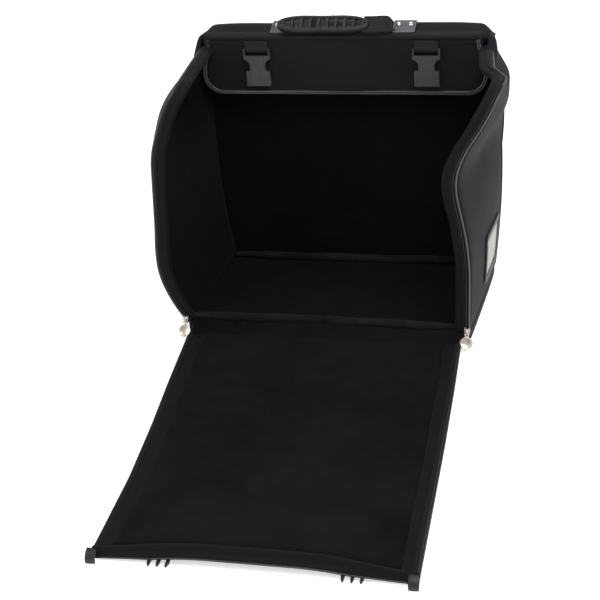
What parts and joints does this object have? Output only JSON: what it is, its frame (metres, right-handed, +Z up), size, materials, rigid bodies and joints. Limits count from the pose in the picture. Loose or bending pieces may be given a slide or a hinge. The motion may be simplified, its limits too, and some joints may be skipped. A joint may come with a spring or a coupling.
{
  "type": "accordion case",
  "caption": "Soft padded carrying case for an accordion, with a zipped front door folded down, a buckled top flap and a top handle.",
  "frame": {"origin": "on the floor under the middle of the base", "axes": "+X to the right, +Y to the back, +Z up"},
  "size_m": [0.6155, 0.879, 0.5179],
  "materials": {
    "board": "matte",
    "foam": "matte",
    "plush_lining": "plush",
    "woven_facing": "woven",
    "woven_cover": "woven",
    "piping": "semi-gloss",
    "glossy_binding": "gloss",
    "zip_tape": "woven",
    "leatherette": "satin",
    "rivet_metal": "polished",
    "webbing": "woven",
    "grip_plastic": "satin",
    "buckle_plastic": "satin",
    "label_frame": "satin",
    "card": "matte",
    "window_plastic": "clear",
    "slider_metal": "satin",
    "pull_metal": "pale satin"
  },
  "bodies": {
    "case": {"base_cover": "woven_cover", "base_board": "board", "base_foam": "foam", "base_lining": "plush_lining", "back_cover": "woven_cover", "back_foam": "foam", "back_lining": "plush_lining", "left_wall_cover": "woven_cover", "left_wall_foam": "foam", "left_wall_lining": "plush_lining", "right_wall_cover": "woven_cover", "right_wall_foam": "foam", "right_wall_lining": "plush_lining", "left_facing": "woven_facing", "right_facing": "woven_facing", "left_piping": "piping", "right_piping": "piping", "wall_zip_tapes": "zip_tape", "floor_back_seam": "plush_lining", "hinge_seam": "plush_lining", "top_cover": "woven_cover", "top_board": "board", "top_foam": "foam", "top_lining": "plush_lining", "left_handle_patch": "leatherette", "right_handle_patch": "leatherette", "handle_rivets": "rivet_metal", "left_handle_webbing": "webbing", "right_handle_webbing": "webbing", "label_frame": "label_frame", "label_card": "card", "label_window": "window_plastic"},
    "handle": {"handle_core": "webbing", "handle_grip": "grip_plastic"},
    "lower_door": {"lower_door_cover": "woven_cover", "lower_door_foam": "foam", "lower_door_lining": "plush_lining", "lower_door_borders": "woven_facing", "door_zip_tapes": "zip_tape"},
    "upper_door": {"upper_door_cover": "woven_cover", "upper_door_foam": "foam", "upper_door_lining": "plush_lining", "upper_door_borders": "woven_facing", "door_end_border": "woven_facing", "door_end_zip_tapes": "zip_tape", "zip_end_tabs": "leatherette", "strap_anchors": "webbing"},
    "left_strap": {"left_prong_buckle": "buckle_plastic"},
    "right_strap": {"right_prong_buckle": "buckle_plastic"},
    "flap": {"flap_cover": "woven_cover", "flap_foam": "foam", "flap_lining": "plush_lining", "flap_binding": "glossy_binding", "flap_straps": "webbing"},
    "left_socket": {"left_socket_buckle": "buckle_plastic"},
    "right_socket": {"right_socket_buckle": "buckle_plastic"},
    "left_slider": {"left_zip_slider": "slider_metal"},
    "right_slider": {"right_zip_slider": "slider_metal"},
    "left_pull": {"left_zip_pull": "pull_metal"},
    "right_pull": {"right_zip_pull": "pull_metal"}
  },
  "joints": [
    {"name": "door_fold", "type": "hinge", "parent": "case", "child": "lower_door", "pos_m": [0, -0.127, 0.021], "axis": [-1, 0, 0], "range_deg": [0, 90]},
    {"name": "door_bend", "type": "hinge", "parent": "lower_door", "child": "upper_door", "pos_m": [0, -0.5767, 0.016], "axis": [-1, 0, 0], "range_deg": [0, 90]},
    {"name": "flap_lift", "type": "hinge", "parent": "case", "child": "flap", "pos_m": [0, 0.0685, 0.4865], "axis": [-1, 0, 0], "range_deg": [0, 120]},
    {"name": "handle_lift", "type": "slide", "parent": "case", "child": "handle", "axis": [0, 0, 1], "range_m": [0, 0.03]},
    {"name": "left_socket_swing", "type": "hinge", "parent": "flap", "child": "left_socket", "pos_m": [-0.148, 0.0634, 0.4655], "axis": [-1, 0, 0], "range_deg": [0, 150]},
    {"name": "right_socket_swing", "type": "hinge", "parent": "flap", "child": "right_socket", "pos_m": [0.148, 0.0634, 0.4655], "axis": [-1, 0, 0], "range_deg": [0, 150]},
    {"name": "left_strap_swing", "type": "hinge", "parent": "upper_door", "child": "left_strap", "pos_m": [-0.14, -0.664, 0.005], "axis": [1, 0, 0], "range_deg": [0, 90]},
    {"name": "right_strap_swing", "type": "hinge", "parent": "upper_door", "child": "right_strap", "pos_m": [0.14, -0.664, 0.005], "axis": [1, 0, 0], "range_deg": [0, 90]},
    {"name": "left_zip_slide", "type": "slide", "parent": "case", "child": "left_slider", "axis": [-0.3166, 0, 0.9486], "range_m": [0, 0.11]},
    {"name": "right_zip_slide", "type": "slide", "parent": "case", "child": "right_slider", "axis": [0, 0, 1], "range_m": [0, 0.18]},
    {"name": "left_pull_swing", "type": "hinge", "parent": "left_slider", "child": "left_pull", "pos_m": [-0.27327, -0.1364, 0.031], "axis": [-1, 0, 0], "range_deg": [-30, 130]},
    {"name": "right_pull_swing", "type": "hinge", "parent": "right_slider", "child": "right_pull", "pos_m": [0.23008, -0.1364, 0.031], "axis": [-1, 0, 0], "range_deg": [-30, 130]}
  ]
}
